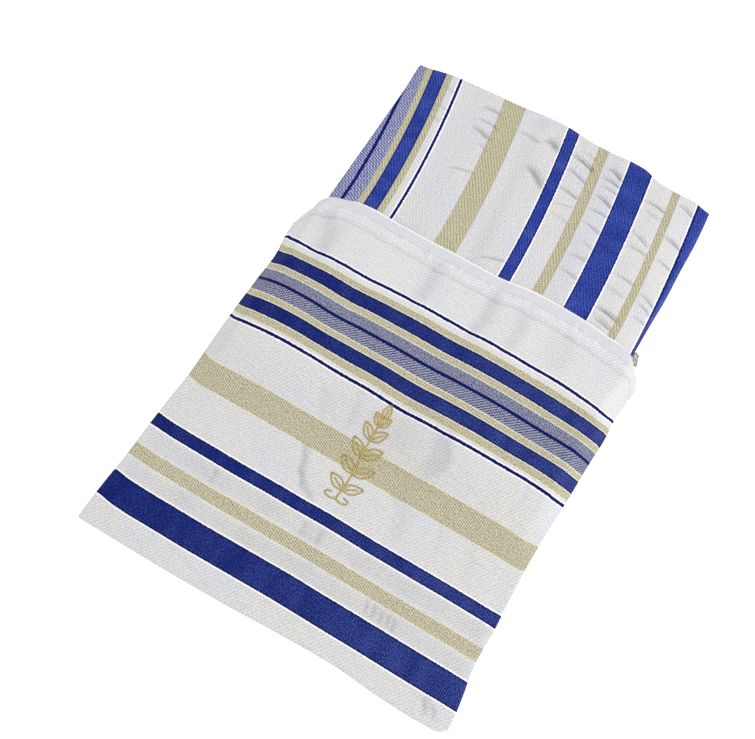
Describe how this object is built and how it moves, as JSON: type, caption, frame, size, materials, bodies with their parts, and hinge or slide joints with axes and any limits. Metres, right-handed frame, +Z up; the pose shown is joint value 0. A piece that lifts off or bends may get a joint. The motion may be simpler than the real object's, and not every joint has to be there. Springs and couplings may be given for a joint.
{
  "type": "folded tallit prayer shawl in its zip pouch",
  "caption": "Long striped prayer shawl folded into a flat stack and half drawn out of a matching flat cloth pouch with an open zip.",
  "frame": {"origin": "middle of the whole plan, on the table", "axes": "+Z up from the table, +Y along the pouch from its bottom seam towards its mouth and the shawl, +X across it to the side where the zip's slider stands"},
  "size_m": [0.2492, 0.4044, 0.0162],
  "materials": {
    "striped_pouch_cloth": "matte woven, striped",
    "striped_shawl_cloth": "matte woven, striped",
    "zip_tape_polyester": "matte woven",
    "zip_nickel": "satin"
  },
  "bodies": {
    "pouch_and_shawl": {"pouch_back": "striped_pouch_cloth", "pouch_front": "striped_pouch_cloth", "zip_tape_back": "zip_tape_polyester", "zip_tape_front": "zip_tape_polyester", "zip_slider": "zip_nickel", "shawl_top_fold": "striped_shawl_cloth", "shawl_layers": "striped_shawl_cloth"},
    "pull": {"zip_pull": "zip_nickel"}
  },
  "joints": [
    {"name": "zip_pull_hinge", "type": "hinge", "parent": "pouch_and_shawl", "child": "pull", "pos_m": [0.11515, 0.07148, 0.0074], "axis": [0, 0, 1], "range_deg": [0, 150]}
  ]
}
